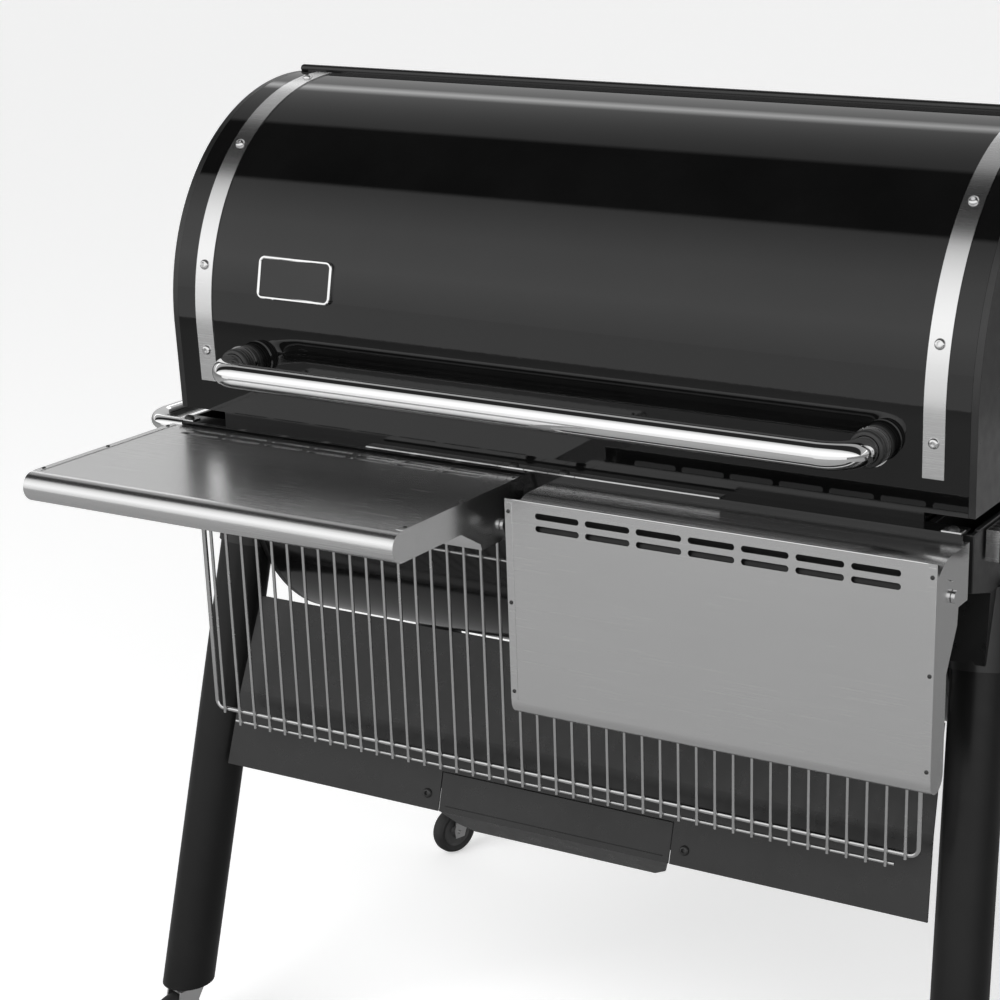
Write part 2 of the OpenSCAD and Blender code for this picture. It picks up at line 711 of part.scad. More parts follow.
drawer_depth = 400;
drawer_floor_z = skirt_bottom_z + 6;
module ash_drawer() {
    front_t = 2;
    lip_drop = 32;
    tray_half = drawer_half - 8;
    color("#2c2c2c") on_cart() union() {
        along_x(-drawer_half, drawer_half) polygon([
            [skirt_foot_y, skirt_bottom_z],
            [skirt_foot_y + (drawer_top_z - skirt_bottom_z) * 0.293, drawer_top_z],
            [skirt_foot_y + (drawer_top_z - skirt_bottom_z) * 0.293 + front_t, drawer_top_z],
            [skirt_foot_y + front_t, skirt_bottom_z]]);
        // the pull, folded back under the front with its corners cut off
        intersection() {
            along_x(-drawer_half, drawer_half) polygon([
                [skirt_foot_y, skirt_bottom_z], [skirt_foot_y + 28, skirt_bottom_z - lip_drop],
                [skirt_foot_y + 30, skirt_bottom_z - lip_drop + 1], [skirt_foot_y + front_t, skirt_bottom_z + 2]]);
            translate([0, 0, skirt_bottom_z + 3]) rotate([90, 0, 0]) linear_extrude(800, center = true)
                polygon([[-drawer_half, 0], [-drawer_half + 14, -24], [-drawer_half + 36, -lip_drop - 5],
                         [drawer_half - 36, -lip_drop - 5], [drawer_half - 14, -24], [drawer_half, 0]]);
        }
        difference() {
            translate([-tray_half, skirt_foot_y + 14, drawer_floor_z]) cube([2 * tray_half, drawer_depth, 36]);
            translate([-tray_half + 2, skirt_foot_y + 16, drawer_floor_z + 2])
                cube([2 * tray_half - 4, drawer_depth - 4, 36]);
        }
        translate([-tray_half, skirt_foot_y + 2, drawer_floor_z]) cube([2 * tray_half, 13, 2]);
    }
}

// rails the drawer runs on, hung from the tub on two straps each
module drawer_rails() {
    rail_len = drawer_depth - 40;
    rail_y = skirt_foot_y + 34;
    color("#3a3a3a") on_cart() difference() {
        for (side = [-1, 1]) {
            x_in = side * (drawer_half - 8 + gap);
            x_out = x_in + side * 3;
            translate([min(x_in, x_out), rail_y, drawer_floor_z - gap - 3]) cube([3, rail_len, 46]);
            translate([side > 0 ? x_in - 16 : x_in, rail_y, drawer_floor_z - gap - 3]) cube([16, rail_len, 3]);
            for (y = [rail_y + 150, rail_y + rail_len - 60])
                translate([min(x_in, x_out), y, drawer_floor_z + 30]) cube([3, 40, tub_axis_z - drawer_floor_z - 60]);
        }
        along_x(-tub_half, tub_half) tub_outline(0);
    }
}

module drip_pan() {
    color("#bdbdbd") on_cart() translate([-120, skirt_foot_y + 60, drawer_floor_z + 2]) difference() {
        cube([240, 180, 26]);
        translate([1, 1, 1]) cube([238, 178, 26]);
    }
}

// ---- front shelves ----

shelf_len = shelf_depth;
arm_drop = 64;      // depth of the side flange at the hinge
// outline of a raised shelf's sheet in (y, z), with its rear edge at the origin
module shelf_sheet_outline() {
    roll_r = shelf_t / 2;
    difference() {
        union() {
            translate([-shelf_len, -shelf_t]) square([shelf_len, shelf_t]);
            translate([-shelf_len, -roll_r]) circle(roll_r);
            translate([-shelf_len - roll_out, -shelf_t]) square([roll_out, shelf_t]);
            translate([-shelf_len - roll_out, -roll_r]) circle(roll_r);
        }
        union() {
            translate([-shelf_len - roll_out, -roll_r]) circle(roll_r - shelf_wall);
            translate([-shelf_len - roll_out, -shelf_t + shelf_wall])
                square([shelf_len + roll_out + 1, shelf_t - 2 * shelf_wall]);
            translate([-shelf_len + 16, -shelf_t - 1]) square([shelf_len, shelf_t - shelf_wall + 1]);
        }
    }
}

// side flange of a shelf, with the arm round its hinge pin
module shelf_flange_outline() {
    roll_r = shelf_t / 2;
    front = -shelf_len - roll_out;
    union() {
        translate([front, -roll_r]) circle(roll_r);
        polygon([[front, 0], [-13, 0], [-shelf_pin_back + 15, -shelf_pin_drop], [-shelf_pin_back + 8, -arm_drop],
                 [-shelf_pin_back - 36, -arm_drop + 4], [-shelf_len * 0.55, -shelf_t], [front, -shelf_t]]);
        translate([-shelf_pin_back, -shelf_pin_drop]) circle(16);
    }
}

slot_len = 54;
slot_h = 7;
slot_margin = 38;
module shelf_slots() {
    pitch = (shelf_w - 2 * slot_margin - slot_len) / (shelf_slots - 1);
    for (i = [0:shelf_slots - 1], row = [0, 1])
        translate([slot_margin + slot_len / 2 + i * pitch, -15 - row * 14, -3])
            linear_extrude(6) round_rect(slot_len, slot_h, slot_h / 2 - 0.01);
}

// one shelf, raised, with the rear edge of its top on the origin and its left end at x = 0
module shelf_pan() {
    difference() {
        union() {
            along_x(0, shelf_w) shelf_sheet_outline();
            along_x(0, shelf_wall) shelf_flange_outline();
            along_x(shelf_w - shelf_wall, shelf_w) shelf_flange_outline();
        }
        shelf_slots();
        translate([-1, -shelf_pin_back, -shelf_pin_drop]) rotate([0, 90, 0])
            cylinder(h = shelf_w + 2, d = shelf_pin_d + 2 * fit);
    }
}

module shelf_left() {
    color("#c4c4c4") on_cart() translate([shelf_x[0], shelf_y, shelf_top_z]) shelf_pan();
}

// the right shelf hangs folded down
module shelf_right() {
    color("#c4c4c4") on_cart() translate([shelf_x[1], pin_y, pin_z]) rotate([90, 0, 0])
        translate([0, shelf_pin_back, shelf_pin_drop]) shelf_pan();
}

// fixed bracket: a top plate that ends in a round nose, two side plates, and a rear wall against the ledge
module shelf_bracket(i) {
    plate_t = 1.5;
    nose_r = shelf_pin_drop - shelf_wall - 1;
    x0 = shelf_x[i] + bracket_in;
    x1 = shelf_x[i] + shelf_w - bracket_in;
    top = pin_z + nose_r;
    color("#9c9c9c") on_cart() difference() {
        union() {
            along_x(x0, x1) difference() {
                union() {
                    bracket_nose(nose_r);
                    translate([pin_y, top - plate_t]) square([-drop_y - pin_y, plate_t]);
                }
                translate([pin_y, pin_z]) circle(nose_r - plate_t, $fn = 96);
            }
            for (x = [x0, x1 - plate_t])
                along_x(x, x + plate_t) union() {
                    bracket_nose(nose_r);
                    translate([pin_y, bracket_foot_z]) square([-drop_y - pin_y, top - bracket_foot_z]);
                }
            along_x(x0, x1) translate([-drop_y - plate_t, bracket_foot_z])
                square([plate_t, top - bracket_foot_z]);
        }
        translate([x0 - 5, pin_y, pin_z]) rotate([0, 90, 0]) cylinder(h = shelf_w + 10, d = shelf_pin_d);
    }
}

// the part of the bracket in front of its hinge line, in (y, z)
module bracket_nose(nose_r) {
    intersection() {
        translate([pin_y, pin_z]) circle(nose_r, $fn = 96);
        translate([pin_y - nose_r, bracket_foot_z]) square([nose_r, 2 * nose_r]);
    }
}

module shelf_bracket_left() shelf_bracket(0);
module shelf_bracket_right() shelf_bracket(1);

module shelf_pins() {
    color("#dddddd") on_cart() for (i = [0, 1], side = [0, 1]) {
        head = 4;
        x_end = shelf_x[i] + (side == 0 ? 0 : shelf_w);
        dir = side == 0 ? -1 : 1;
        translate([x_end + dir * 0.6, pin_y, pin_z]) rotate([0, dir * 90, 0]) union() {
            cylinder(h = head, d = shelf_pin_d + 6);
            translate([0, 0, -10]) cylinder(h = 10.1, d = shelf_pin_d);
        }
    }
}

// ---- wire guard ----

module wire_guard() {
    $fn = 24;
    corner = 10;
    frame_y = guard_y + (wire_d + frame_wire_d) / 2 - 1;
    bar_y = guard_y + wire_d - 0.5;
    second_z = guard_bottom_z - 14;
    half = guard_half;
    top = guard_top_z - frame_wire_d / 2;
    color("#cfcfcf") on_cart() union() {
        for (z = [guard_bottom_z, top])
            rod([-half + corner, frame_y, z], [half - corner, frame_y, z], frame_wire_d);
        for (side = [-1, 1]) {
            rod([side * half, frame_y, guard_bottom_z + corner], [side * half, frame_y, top - corner], frame_wire_d);
            translate([side * (half - corner), frame_y, guard_bottom_z + corner])
                rotate([90, 0, 0]) rotate([0, 0, side > 0 ? -90 : 180]) tube_bend(corner, frame_wire_d);
            translate([side * (half - corner), frame_y, top - corner])
                rotate([90, 0, 0]) rotate([0, 0, side > 0 ? 0 : 90]) tube_bend(corner, frame_wire_d);
        }
        rod([-half + 0.5, bar_y, guard_rail_z], [half - 0.5, bar_y, guard_rail_z], wire_d);
        rod([-half + 1.2 * wire_pitch, bar_y, second_z], [half - 1.2 * wire_pitch, bar_y, second_z], wire_d);
        for (i = [0:wire_count - 1]) {
            x = (i - (wire_count - 1) / 2) * wire_pitch;
            outer = i == 0 || i == wire_count - 1;
            rod([x, guard_y, outer ? guard_bottom_z - 4 : second_z - 3], [x, guard_y, guard_top_z - 1], wire_d);
        }
    }
}

// ---- cart ----

function leg_x(z) = leg_ref_x + leg_lean_x * (leg_ref_z - z);
function leg_y(z) = leg_ref_y + leg_lean_y * (leg_ref_z - z);

module leg(sx, sy) {
    color("#1b1b1b") on_cart() difference() {
        rod([sx * leg_x(leg_top_z), sy * leg_y(leg_top_z), leg_top_z],
            [sx * leg_x(leg_foot_z - 20), sy * leg_y(leg_foot_z - 20), leg_foot_z - 20], leg_d);
        translate([sx * leg_x(leg_foot_z) - 100, sy * leg_y(leg_foot_z) - 100, leg_foot_z - 100]) cube([200, 200, 100]);
        translate([sx * leg_x(leg_foot_z), sy * leg_y(leg_foot_z), leg_foot_z - 1])
            cylinder(h = 24, d = stem_d + 2 * fit);
    }
}

module leg_front_left() leg(-1, -1);
module leg_front_right() leg(1, -1);
module leg_rear_left() leg(-1, 1);
module leg_rear_right() leg(1, 1);

// cast sockets that hold the tops of the legs under the cookbox ends
module leg_sockets(sx) {
    lap = 10;           // length of leg inside its socket
    neck_z = casting_foot_z;
    color("#242424") on_cart() for (sy = [-1, 1]) difference() {
        union() {
            rod([sx * leg_x(neck_z + 12), sy * leg_y(neck_z + 12), neck_z + 12],
                [sx * leg_x(leg_top_z - lap), sy * leg_y(leg_top_z - lap), leg_top_z - lap], leg_d + 5);
            along_x(sx > 0 ? tub_half + casting_t : -end_x + 1, sx > 0 ? end_x - 1 : -tub_half - casting_t)
                polygon([[sy * (leg_y(leg_top_z) + 34), leg_top_z + 6], [sy * (leg_y(neck_z) + 46), neck_z],
                         [sy * (leg_y(neck_z) - 80), neck_z], [sy * (leg_y(leg_top_z) - 34), leg_top_z + 14]]);
        }
        rod([sx * leg_x(leg_top_z), sy * leg_y(leg_top_z), leg_top_z],
            [sx * leg_x(leg_top_z - 60), sy * leg_y(leg_top_z - 60), leg_top_z - 60], leg_d);
        // flat top under the casting, and clear of the tub and its end plate
        translate([sx * leg_ref_x - 150, -2 * lid_r, neck_z]) cube([300, 4 * lid_r, 100]);
        along_x(-tub_half - casting_t, tub_half + casting_t) tub_outline(0);
    }
}

module leg_sockets_left() leg_sockets(-1);
module leg_sockets_right() leg_sockets(1);

stem_d = 12;
fork_top_z = leg_foot_z - 4;
axle_d = 7;
module caster_fork(sx, sy) {
    cheek_t = 2.5;
    cheek_gap = wheel_w + 2;
    axle_z = wheel_d / 2;
    color("#b8b8b8") on_cart() translate([sx * leg_x(leg_foot_z), sy * leg_y(leg_foot_z), 0])
    rotate([0, 0, caster_angle]) union() {
        translate([0, 0, fork_top_z - 1]) cylinder(h = 24, d = stem_d);
        translate([0, 0, fork_top_z - 6]) cylinder(h = 8, d = 34);
        translate([-cheek_gap / 2 - cheek_t, -14, fork_top_z - 6])
            cube([cheek_gap + 2 * cheek_t, caster_trail + 14, 3]);
        for (side = [-1, 1])
            along_x(side > 0 ? cheek_gap / 2 : -cheek_gap / 2 - cheek_t,
                    side > 0 ? cheek_gap / 2 + cheek_t : -cheek_gap / 2)
                polygon([[-14, fork_top_z - 3], [caster_trail, fork_top_z - 3], [caster_trail + 10, axle_z + 4],
                         [caster_trail + 8, axle_z - 9], [caster_trail - 8, axle_z - 9],
                         [caster_trail - 12, axle_z + 2]]);
        translate([-cheek_gap / 2 - cheek_t - 3, caster_trail, axle_z]) rotate([0, 90, 0])
            cylinder(h = cheek_gap + 2 * cheek_t + 6, d = axle_d);
    }
}

module caster_fork_front_left() caster_fork(-1, -1);
module caster_fork_front_right() caster_fork(1, -1);
module caster_fork_rear_left() caster_fork(-1, 1);
module caster_fork_rear_right() caster_fork(1, 1);

module caster_wheel(sx, sy) {
    color("#202020") on_cart()
        translate([sx * leg_x(leg_foot_z), sy * leg_y(leg_foot_z), wheel_d / 2])
        rotate([0, 0, caster_angle]) translate([0, caster_trail, 0]) rotate([0, 90, 0]) difference() {
            union() {
                cylinder(h = wheel_w - 6, d = wheel_d, center = true);
                cylinder(h = wheel_w, d = wheel_d - 8, center = true);
            }
            cylinder(h = wheel_w + 2, d = axle_d + 2 * fit, center = true);
        }
}

module caster_wheel_front_left() caster_wheel(-1, -1);
module caster_wheel_front_right() caster_wheel(1, -1);
module caster_wheel_rear_left() caster_wheel(-1, 1);
module caster_wheel_rear_right() caster_wheel(1, 1);

// ---- side handle and side table ----

side_handle_z = ledge_z - 20;
module side_handle() {
    y0 = -lid_r + 22;
    y1 = lid_r - 22;
    r = 40;
    x0 = -end_x;
    x1 = -left_reach + side_handle_d / 2;
    color("#e0e0e0") on_cart() union() {
        for (y = [y0, y1]) {
            rod([x0, y, side_handle_z], [x1 + r, y, side_handle_z], side_handle_d);
            rod([x0, y, side_handle_z], [x0 - 12, y, side_handle_z], side_handle_d + 8);
        }
        rod([x1, y0 + r, side_handle_z], [x1, y1 - r, side_handle_z], side_handle_d);
        translate([x1 + r, y0 + r, side_handle_z]) rotate([0, 0, 180]) tube_bend(r, side_handle_d);
        translate([x1 + r, y1 - r, side_handle_z]) rotate([0, 0, 90]) tube_bend(r, side_handle_d);
    }
}

table_z = ledge_z - 6;
table_t = 34;
module side_table() {
    y0 = -lid_r + 30;
    color("#bcbcbc") on_cart() difference() {
        translate([end_x + 2, y0, table_z - table_t]) cube([table_w, table_d, table_t]);
        translate([end_x + 3.5, y0 + 1.5, table_z - table_t - 1]) cube([table_w - 3, table_d - 3, table_t - 0.5]);
    }
    color("#bcbcbc") on_cart() for (y = [y0 + 60, y0 + table_d - 80])
        translate([end_x, y, table_z - table_t]) cube([4, 20, table_t - 4]);
}

module controller() {
    y0 = -lid_r + 30;
    color("#2b2b2b") on_cart() difference() {
        translate([end_x + 20, y0 - 8, table_z - table_t + 2]) cube([table_w - 60, 8, table_t - 6]);
        translate([end_x + 34, y0 - 8.5, table_z - table_t + 7]) cube([90, 1.5, table_t - 16]);
        translate([end_x + 150, y0 - 9, table_z - table_t / 2]) rotate([-90, 0, 0]) cylinder(h = 10, d = 6 + 2 * fit);
        translate([end_x + 200, y0 - 9, table_z - table_t / 2]) rotate([-90, 0, 0]) cylinder(h = 8, d = 10 + 0.2);
    }
}

module control_knob() {
    y0 = -lid_r + 30;
    color("#c0c0c0") on_cart() translate([end_x + 150, y0 - 8.4, table_z - table_t / 2]) rotate([90, 0, 0]) union() {
        difference() {
            cylinder(h = 16, d = 24);
            translate([-1, 8, 12]) cube([2, 6, 6]);
        }
        translate([0, 0, -7]) cylinder(h = 7.1, d = 6);
    }
}

module power_button() {
    y0 = -lid_r + 30;
    color("#606060") on_cart() translate([end_x + 200, y0 - 4, table_z - table_t / 2]) rotate([90, 0, 0])
        cylinder(h = 6.5, d = 10);
}

lid_shell();
lid_end_left();
lid_end_right();
lid_band_left();
lid_band_right();
band_screws();
lid_handle_tube();
handle_boss_left();
handle_boss_right();
handle_rings();
lid_badge();
lid_ridge_rail();
rear_hood();
lid_hinge_pins();
cookbox_shell();
cookbox_end_left();
cookbox_end_right();
ledge_plate();
cooking_grate_left();
cooking_grate_right();
warming_rack();
deflector_bars();
burn_pot();
auger_tube();
auger();
auger_motor();
hopper();
hopper_lid();
hopper_hinge_pin();
drawer_rails();
power_inlet();
skirt_panel();
body_bolts();
ash_drawer();
drip_pan();
shelf_left();
shelf_right();
shelf_bracket_left();
shelf_bracket_right();
shelf_pins();
wire_guard();
leg_front_left();
leg_front_right();
leg_rear_left();
leg_rear_right();
leg_sockets_left();
leg_sockets_right();
caster_fork_front_left();
caster_fork_front_right();
caster_fork_rear_left();
caster_fork_rear_right();
caster_wheel_front_left();
caster_wheel_front_right();
caster_wheel_rear_left();
caster_wheel_rear_right();
side_handle();
side_table();
controller();
control_knob();
power_button();
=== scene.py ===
"""Looks for the pellet grill: materials, bevelled and detailed pieces, studio light, floor and camera."""
import json
import math

import bmesh
import bpy
from mathutils import Matrix, Vector

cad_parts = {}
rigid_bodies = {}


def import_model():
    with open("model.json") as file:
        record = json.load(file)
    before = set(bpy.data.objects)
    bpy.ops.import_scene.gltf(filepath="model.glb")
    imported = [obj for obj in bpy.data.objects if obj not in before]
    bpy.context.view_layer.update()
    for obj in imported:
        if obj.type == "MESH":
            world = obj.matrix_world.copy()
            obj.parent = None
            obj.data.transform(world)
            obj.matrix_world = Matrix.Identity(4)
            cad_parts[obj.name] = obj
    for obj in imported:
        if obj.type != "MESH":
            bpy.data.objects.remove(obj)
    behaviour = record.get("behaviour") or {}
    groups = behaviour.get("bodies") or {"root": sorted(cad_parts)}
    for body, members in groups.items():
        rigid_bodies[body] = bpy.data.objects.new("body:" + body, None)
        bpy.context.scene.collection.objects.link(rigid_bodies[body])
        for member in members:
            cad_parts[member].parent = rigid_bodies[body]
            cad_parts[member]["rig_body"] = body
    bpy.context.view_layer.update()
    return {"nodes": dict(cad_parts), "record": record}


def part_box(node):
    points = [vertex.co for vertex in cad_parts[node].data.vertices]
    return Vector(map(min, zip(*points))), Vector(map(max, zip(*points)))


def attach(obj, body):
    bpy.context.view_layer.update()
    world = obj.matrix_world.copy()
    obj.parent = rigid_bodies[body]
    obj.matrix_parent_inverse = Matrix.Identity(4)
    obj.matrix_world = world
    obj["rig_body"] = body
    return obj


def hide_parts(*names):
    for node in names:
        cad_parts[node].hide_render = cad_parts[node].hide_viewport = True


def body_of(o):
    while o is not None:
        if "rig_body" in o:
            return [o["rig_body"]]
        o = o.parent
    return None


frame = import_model()

# ---------------------------------------------------------------- the barrel, which the rest is placed from

LID_LOW, LID_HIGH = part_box("lid_shell")
LID_R = 0.267
BARREL = Vector(((LID_LOW.x + LID_HIGH.x) / 2, LID_LOW.y + LID_R, LID_HIGH.z - LID_R))

# ---------------------------------------------------------------- camera

CAMERA_PLACE = (BARREL.x + 1.2564, BARREL.y - 2.2701, 1.5049)
CAMERA_YAW = 26.481
CAMERA_PITCH = -19.154
CAMERA_ROLL = 0.171
SENSOR_MM = 36.0
LENS_MM = 78.634
CAMERA_SHIFT_X = -0.2497
CAMERA_SHIFT_Y = 0.0937


def make_camera():
    data = bpy.data.cameras.new("camera")
    data.sensor_width = SENSOR_MM
    data.lens = LENS_MM
    data.shift_x = CAMERA_SHIFT_X
    data.shift_y = CAMERA_SHIFT_Y
    data.clip_end = 200
    camera = bpy.data.objects.new("camera", data)
    bpy.context.scene.collection.objects.link(camera)
    turn = Matrix.Rotation(math.radians(CAMERA_YAW), 4, "Z")
    tilt = Matrix.Rotation(math.radians(90 + CAMERA_PITCH), 4, "X")
    roll = Matrix.Rotation(math.radians(CAMERA_ROLL), 4, "Z")
    camera.matrix_world = Matrix.Translation(CAMERA_PLACE) @ turn @ tilt @ roll
    bpy.context.scene.camera = camera


# ---------------------------------------------------------------- node helpers

class Nodes:
    """A short way to build a node tree: add() makes a node, link() joins two sockets."""

    def __init__(self, tree):
        self.tree = tree

    def add(self, kind, **values):
        node = self.tree.nodes.new(kind)
        for name, value in values.items():
            if name in node.inputs:
                node.inputs[name].default_value = value
            else:
                setattr(node, name, value)
        return node

    def link(self, a, b):
        self.tree.links.new(a, b)

    def math(self, operation, a, b):
        node = self.add("ShaderNodeMath", operation=operation)
        for socket, value in zip(node.inputs, (a, b)):
            if isinstance(value, (int, float)):
                socket.default_value = value
            else:
                self.link(value, socket)
        return node.outputs[0]

    def ramp(self, source, stops):
        node = self.add("ShaderNodeValToRGB")
        elements = node.color_ramp.elements
        while len(elements) > 1:
            elements.remove(elements[-1])
        elements[0].position = stops[0][0]
        elements[0].color = grey(stops[0][1])
        for place, value in stops[1:]:
            elements.new(place).color = grey(value)
        self.link(source, node.inputs[0])
        return node.outputs[0]


def grey(value):
    return (value, value, value, 1.0)


def new_material(name):
    material = bpy.data.materials.new(name)
    material.use_nodes = True
    tree = Nodes(material.node_tree)
    shader = next(n for n in material.node_tree.nodes if n.type == "BSDF_PRINCIPLED")
    return material, tree, shader


# ---------------------------------------------------------------- materials

def coat(name, value, rough, orange_peel=0.0, peel_scale=400.0, spread=0.25, specular=0.5):
    """Paint or enamel: faint mottling in colour and roughness, with a fine orange-peel bump."""
    material, tree, shader = new_material(name)
    where = tree.add("ShaderNodeTexCoord").outputs["Object"]
    mottle = tree.add("ShaderNodeTexNoise", Scale=9.0, Detail=5.0, Roughness=0.6)
    tree.link(where, mottle.inputs["Vector"])
    colour = tree.ramp(mottle.outputs["Fac"], [(0.3, value * (1 - spread)), (0.7, value * (1 + spread))])
    tree.link(colour, shader.inputs["Base Color"])
    fine = tree.add("ShaderNodeTexNoise", Scale=60.0, Detail=3.0)
    tree.link(where, fine.inputs["Vector"])
    gloss = tree.ramp(fine.outputs["Fac"], [(0.3, rough * 0.85), (0.75, rough * 1.2)])
    tree.link(gloss, shader.inputs["Roughness"])
    shader.inputs["Specular IOR Level"].default_value = specular
    if orange_peel:
        grain = tree.add("ShaderNodeTexNoise", Scale=peel_scale, Detail=2.0)
        tree.link(where, grain.inputs["Vector"])
        bump = tree.add("ShaderNodeBump", Strength=orange_peel, Distance=0.0004)
        tree.link(grain.outputs["Fac"], bump.inputs["Height"])
        tree.link(bump.outputs["Normal"], shader.inputs["Normal"])
    return material


def brushed(name, value, rough, along="X", streak=0.025, tilt=0.035):
    """Brushed stainless: streaks much longer than they are wide, in colour, roughness and bump."""
    material, tree, shader = new_material(name)
    where = tree.add("ShaderNodeTexCoord").outputs["Object"]
    stretch = tree.add("ShaderNodeMapping")
    scale = {"X": (8.0, 2200.0, 2200.0), "Y": (2200.0, 8.0, 2200.0), "Z": (2200.0, 2200.0, 8.0)}[along]
    stretch.inputs["Scale"].default_value = scale
    tree.link(where, stretch.inputs["Vector"])
    streaks = tree.add("ShaderNodeTexNoise", Scale=1.0, Detail=3.0, Roughness=0.6)
    tree.link(stretch.outputs["Vector"], streaks.inputs["Vector"])
    cloud = tree.add("ShaderNodeTexNoise", Scale=5.0, Detail=3.0)
    tree.link(where, cloud.inputs["Vector"])
    mixed = tree.math("ADD", tree.math("MULTIPLY", streaks.outputs["Fac"], 0.7),
                      tree.math("MULTIPLY", cloud.outputs["Fac"], 0.3))
    colour = tree.ramp(mixed, [(0.3, value * (1 - streak)), (0.7, value * (1 + streak))])
    tree.link(colour, shader.inputs["Base Color"])
    gloss = tree.ramp(mixed, [(0.3, rough * 0.85), (0.7, rough * 1.2)])
    tree.link(gloss, shader.inputs["Roughness"])
    shader.inputs["Metallic"].default_value = 1.0
    bump = tree.add("ShaderNodeBump", Strength=tilt, Distance=0.00006)
    tree.link(streaks.outputs["Fac"], bump.inputs["Height"])
    tree.link(bump.outputs["Normal"], shader.inputs["Normal"])
    return material


def polished(name, value, rough):
    """Chrome plate: nearly a mirror, with faint haze where it has been handled."""
    material, tree, shader = new_material(name)
    where = tree.add("ShaderNodeTexCoord").outputs["Object"]
    haze = tree.add("ShaderNodeTexNoise", Scale=14.0, Detail=6.0, Roughness=0.7)
    tree.link(where, haze.inputs["Vector"])
    gloss = tree.ramp(haze.outputs["Fac"], [(0.35, rough * 0.6), (0.7, rough * 1.5)])
    tree.link(gloss, shader.inputs["Roughness"])
    colour = tree.ramp(haze.outputs["Fac"], [(0.3, value * 0.97), (0.7, min(value * 1.03, 1))])
    tree.link(colour, shader.inputs["Base Color"])
    shader.inputs["Metallic"].default_value = 1.0
    return material


def moulded(name, value, rough, grain=0.3):
    """Moulded plastic or rubber: fine pebble grain and slightly uneven sheen."""
    material, tree, shader = new_material(name)
    where = tree.add("ShaderNodeTexCoord").outputs["Object"]
    pebble = tree.add("ShaderNodeTexVoronoi", Scale=700.0)
    tree.link(where, pebble.inputs["Vector"])
    cloud = tree.add("ShaderNodeTexNoise", Scale=25.0, Detail=4.0)
    tree.link(where, cloud.inputs["Vector"])
    colour = tree.ramp(cloud.outputs["Fac"], [(0.3, value * 0.8), (0.7, value * 1.25)])
    tree.link(colour, shader.inputs["Base Color"])
    gloss = tree.ramp(cloud.outputs["Fac"], [(0.3, rough * 0.9), (0.7, min(rough * 1.15, 1))])
    tree.link(gloss, shader.inputs["Roughness"])
    bump = tree.add("ShaderNodeBump", Strength=grain, Distance=0.0002)
    tree.link(pebble.outputs["Distance"], bump.inputs["Height"])
    tree.link(bump.outputs["Normal"], shader.inputs["Normal"])
    return material


MATERIALS = {
    "gloss_enamel": coat("gloss_enamel", 0.0035, 0.035, orange_peel=0.02, peel_scale=220.0, specular=0.5),
    "cast_black": coat("cast_black", 0.012, 0.32, orange_peel=0.25, peel_scale=700.0),
    "brushed_steel": brushed("brushed_steel", 0.74, 0.24),
    "bright_fasteners": polished("bright_fasteners", 0.72, 0.14),
    "polished_chrome": polished("polished_chrome", 0.86, 0.035),
    "ribbed_plastic": moulded("ribbed_plastic", 0.02, 0.38),
    "badge_metal": brushed("badge_metal", 0.6, 0.3, tilt=0.05),
    "rail_black": coat("rail_black", 0.008, 0.16),
    "cookbox_enamel": coat("cookbox_enamel", 0.006, 0.12, orange_peel=0.05),
    "grate_iron": coat("grate_iron", 0.03, 0.4, orange_peel=0.5, peel_scale=500.0),
    "rack_wire": polished("rack_wire", 0.62, 0.2),
    "plain_steel": brushed("plain_steel", 0.4, 0.38),
    "motor_grey": coat("motor_grey", 0.08, 0.45),
    "hopper_black": coat("hopper_black", 0.014, 0.35, orange_peel=0.3, peel_scale=800.0),
    "skirt_black": coat("skirt_black", 0.012, 0.3, orange_peel=0.15, peel_scale=900.0),
    "dark_bolts": coat("dark_bolts", 0.02, 0.3),
    "foil_tray": brushed("foil_tray", 0.66, 0.34, streak=0.04),
    "leg_black": coat("leg_black", 0.006, 0.34, orange_peel=0.2, peel_scale=900.0, specular=0.3),
    "caster_zinc": brushed("caster_zinc", 0.6, 0.35, along="Z"),
    "caster_tread": moulded("caster_tread", 0.02, 0.6),
    "knob_metal": brushed("knob_metal", 0.6, 0.28, along="Z"),
}


def paint_cad_nodes():
    for entry in frame["record"]["subparts"]:
        node = frame["nodes"][entry["node"]]
        node.data.materials.clear()
        node.data.materials.append(MATERIALS[entry["material_slot"]])


# ---------------------------------------------------------------- light and floor

# How bright the studio is in the plane across the barrel, from the horizon in front (0), over the top (0.5)
# to the horizon behind (1): a wide front softbox, a dark gap overhead, and a rear light. Only light and
# reflections see it; the camera sees the plain BACKDROP.
SKY_STOPS = [
    (0.0, 0.95), (0.12, 1.3), (0.24, 1.1), (0.362, 0.62), (0.374, 0.02), (0.575, 0.02), (0.59, 0.35),
    (0.76, 0.5), (0.79, 2.0), (0.82, 0.6), (1.0, 0.5),
]
SKY_STRENGTH = 1.0
BACKDROP = 0.9
FLOOR_SIZE = 120
CARD_SIZE = (14.0, 1.2, 1.0)
CARD_PLACE = (-1.0, -4.2, 0.6)
CARD_GLOW = 0.9


